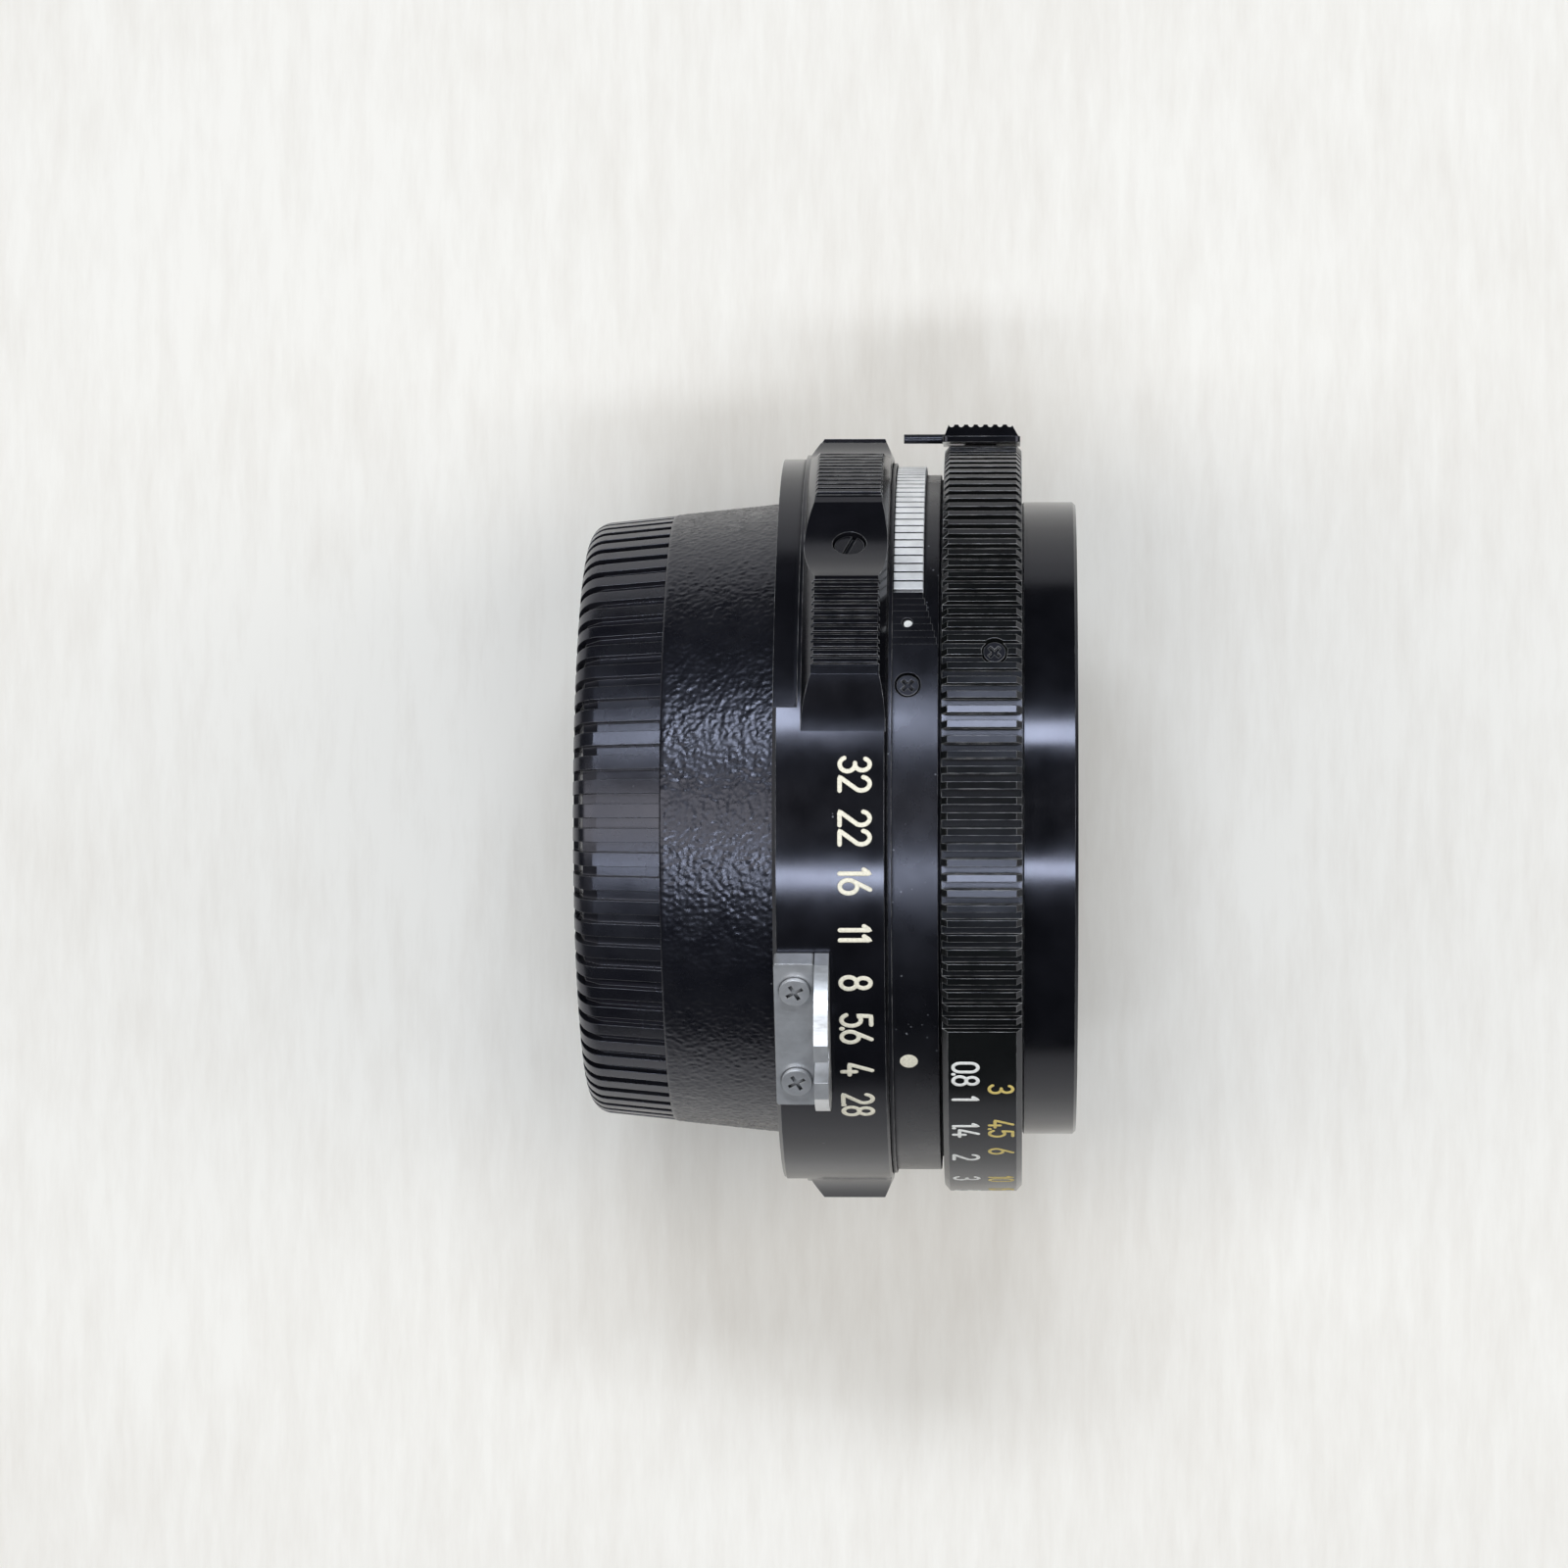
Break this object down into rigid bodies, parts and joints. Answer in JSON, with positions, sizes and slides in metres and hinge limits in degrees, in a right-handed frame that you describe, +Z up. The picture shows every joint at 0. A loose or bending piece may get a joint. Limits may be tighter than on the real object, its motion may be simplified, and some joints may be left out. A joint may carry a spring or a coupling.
{
  "type": "camera lens",
  "caption": "Thin fixed-focal-length camera lens with bayonet mount, aperture ring with a metering prong, focus ring, ring coupler, iris, glass and a ribbed rear cap.",
  "frame": {"origin": "centre of the bayonet flange's seating face, on the optical axis", "axes": "+X along the optical axis towards the front glass, +Z up as the lens lies on its side, +Y towards the ring coupler"},
  "size_m": [0.0407, 0.0651, 0.0636],
  "materials": {
    "black_anodised": "semi-gloss black anodised",
    "matt_black": "matt black",
    "bright_chrome": "polished",
    "satin_silver": "satin chromed",
    "nickel": "satin nickel",
    "black_screws": "blackened",
    "brass_parts": "turned",
    "iris_steel": "blued",
    "cap_plastic": "grained moulding",
    "coated_glass": "single-coated"
  },
  "bodies": {
    "housing": {"bayonet_mount": "bright_chrome", "bayonet_screws": "black_screws", "click_ball": "nickel", "click_spring": "nickel", "click_spring_screw": "black_screws", "fixed_housing": "black_anodised", "focus_retaining_ring": "brass_parts", "focus_stop_screws": "black_screws", "grip_ring": "satin_silver", "guide_tube": "brass_parts", "guide_tube_screws": "black_screws", "index_ring": "black_anodised", "index_ring_screws": "black_screws", "rear_baffle": "matt_black", "stop_down_spring": "nickel"},
    "aperture_ring": {"aperture_ring": "black_anodised", "aperture_ring_screws": "black_screws", "aperture_cam_ring": "brass_parts", "meter_prong": "nickel", "meter_prong_screws": "nickel"},
    "focus_ring": {"focus_ring": "black_anodised", "focus_ring_screws": "black_screws", "focus_carrier": "black_anodised", "focus_stop_key": "nickel"},
    "coupler": {"coupler_slider": "black_anodised", "coupler_pin": "black_screws"},
    "optical_barrel": {"front_barrel": "black_anodised", "inner_barrel": "matt_black", "cam_follower_rollers": "brass_parts", "cam_follower_screws": "nickel", "front_trim_ring": "black_anodised", "front_mount_plate": "matt_black", "front_cell": "matt_black", "front_lens_element": "coated_glass", "front_retaining_ring": "matt_black", "front_spacer_ring": "matt_black", "second_lens_element": "coated_glass", "iris_base_ring": "matt_black", "iris_cover_ring": "matt_black", "rear_cell": "matt_black", "third_lens_element": "coated_glass", "fourth_lens_element": "coated_glass", "rear_retaining_ring": "matt_black"},
    "iris_drive": {"iris_drive_ring": "brass_parts", "iris_drive_arm": "brass_parts"},
    "stop_down": {"stop_down_ring": "brass_parts", "stop_down_lever": "nickel"},
    "rear_cap": {"rear_cap": "cap_plastic"},
    "iris_blade_1": {"iris_blade_1": "iris_steel"},
    "iris_blade_2": {"iris_blade_2": "iris_steel"},
    "iris_blade_3": {"iris_blade_3": "iris_steel"},
    "iris_blade_4": {"iris_blade_4": "iris_steel"},
    "iris_blade_5": {"iris_blade_5": "iris_steel"},
    "iris_blade_6": {"iris_blade_6": "iris_steel"},
    "iris_blade_7": {"iris_blade_7": "iris_steel"}
  },
  "joints": [
    {"name": "aperture_turn", "type": "hinge", "parent": "housing", "child": "aperture_ring", "pos_m": [0, 0, 0], "axis": [1, 0, 0], "range_deg": [-8, 48]},
    {"name": "focus_turn", "type": "hinge", "parent": "housing", "child": "focus_ring", "pos_m": [0, 0, 0], "axis": [1, 0, 0], "range_deg": [-70, 0]},
    {"name": "barrel_extension", "type": "slide", "parent": "housing", "child": "optical_barrel", "axis": [1, 0, 0], "range_m": [-0.0029, 0]},
    {"name": "coupler_slide", "type": "slide", "parent": "focus_ring", "child": "coupler", "axis": [-1, 0, 0], "range_m": [0, 0.001]},
    {"name": "iris_drive_turn", "type": "hinge", "parent": "optical_barrel", "child": "iris_drive", "pos_m": [0, 0, 0], "axis": [1, 0, 0], "range_deg": [-0.7, 3.8]},
    {"name": "stop_down_swing", "type": "hinge", "parent": "housing", "child": "stop_down", "pos_m": [0, 0, 0], "axis": [1, 0, 0], "range_deg": [0, 30], "stiffness_Nm_per_rad": 0.01, "springref_deg": -5.73},
    {"name": "cap_pull", "type": "slide", "parent": "housing", "child": "rear_cap", "axis": [-1, 0, 0], "range_m": [0, 0.025]},
    {"name": "iris_blade_1_turn", "type": "hinge", "parent": "optical_barrel", "child": "iris_blade_1", "pos_m": [0, 0.0116, 0], "axis": [1, 0, 0], "range_deg": [-4.4, 26.2]},
    {"name": "iris_blade_2_turn", "type": "hinge", "parent": "optical_barrel", "child": "iris_blade_2", "pos_m": [0, 0.00723, 0.00907], "axis": [1, 0, 0], "range_deg": [-4.4, 26.2]},
    {"name": "iris_blade_3_turn", "type": "hinge", "parent": "optical_barrel", "child": "iris_blade_3", "pos_m": [0, -0.00258, 0.01131], "axis": [1, 0, 0], "range_deg": [-4.4, 26.2]},
    {"name": "iris_blade_4_turn", "type": "hinge", "parent": "optical_barrel", "child": "iris_blade_4", "pos_m": [0, -0.01045, 0.00503], "axis": [1, 0, 0], "range_deg": [-4.4, 26.2]},
    {"name": "iris_blade_5_turn", "type": "hinge", "parent": "optical_barrel", "child": "iris_blade_5", "pos_m": [0, -0.01045, -0.00503], "axis": [1, 0, 0], "range_deg": [-4.4, 26.2]},
    {"name": "iris_blade_6_turn", "type": "hinge", "parent": "optical_barrel", "child": "iris_blade_6", "pos_m": [0, -0.00258, -0.01131], "axis": [1, 0, 0], "range_deg": [-4.4, 26.2]},
    {"name": "iris_blade_7_turn", "type": "hinge", "parent": "optical_barrel", "child": "iris_blade_7", "pos_m": [0, 0.00723, -0.00907], "axis": [1, 0, 0], "range_deg": [-4.4, 26.2]}
  ],
  "couplings": [
    {"joint": "barrel_extension", "follows": "focus_turn", "m_per_rad": 0.0023737},
    {"joint": "iris_drive_turn", "follows": "aperture_turn", "ratio": 0.0774},
    {"joint": "iris_blade_1_turn", "follows": "aperture_turn", "ratio": 0.545},
    {"joint": "iris_blade_2_turn", "follows": "aperture_turn", "ratio": 0.545},
    {"joint": "iris_blade_3_turn", "follows": "aperture_turn", "ratio": 0.545},
    {"joint": "iris_blade_4_turn", "follows": "aperture_turn", "ratio": 0.545},
    {"joint": "iris_blade_5_turn", "follows": "aperture_turn", "ratio": 0.545},
    {"joint": "iris_blade_6_turn", "follows": "aperture_turn", "ratio": 0.545},
    {"joint": "iris_blade_7_turn", "follows": "aperture_turn", "ratio": 0.545}
  ]
}
